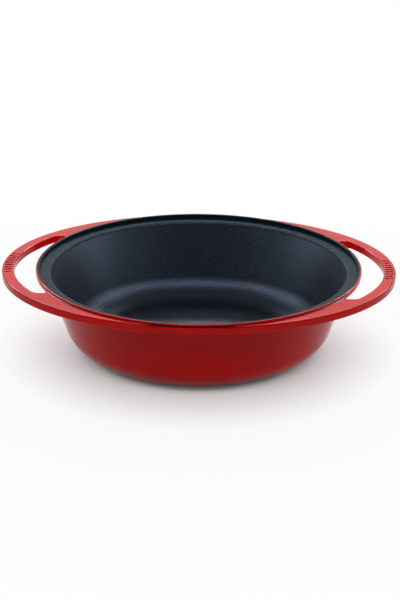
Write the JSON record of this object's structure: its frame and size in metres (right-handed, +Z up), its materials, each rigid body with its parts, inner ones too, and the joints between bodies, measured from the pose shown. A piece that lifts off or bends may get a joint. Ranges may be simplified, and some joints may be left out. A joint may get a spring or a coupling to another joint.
{
  "type": "cast iron skillet",
  "caption": "Round deep enamelled cast iron skillet with an oval flange that forms two loop handles, red outside and black inside.",
  "frame": {"origin": "centre of the base, on the surface that the skillet stands on", "axes": "+Z up, +X through the middle of the right-hand handle"},
  "size_m": [0.3676, 0.3068, 0.08],
  "materials": {
    "red_enamelled_iron": "grey cast iron under a glossy red vitreous enamel",
    "black_matt_enamel": "matt black vitreous enamel with a fine grain",
    "rim_ground_coat": "satin black ground coat",
    "base_ground_coat": "satin black ground coat"
  },
  "bodies": {
    "root": {"bowl_casting": "red_enamelled_iron", "left_handle_casting": "red_enamelled_iron", "right_handle_casting": "red_enamelled_iron", "interior_enamel": "black_matt_enamel", "rim_enamel": "rim_ground_coat", "base_enamel": "base_ground_coat"}
  },
  "joints": []
}
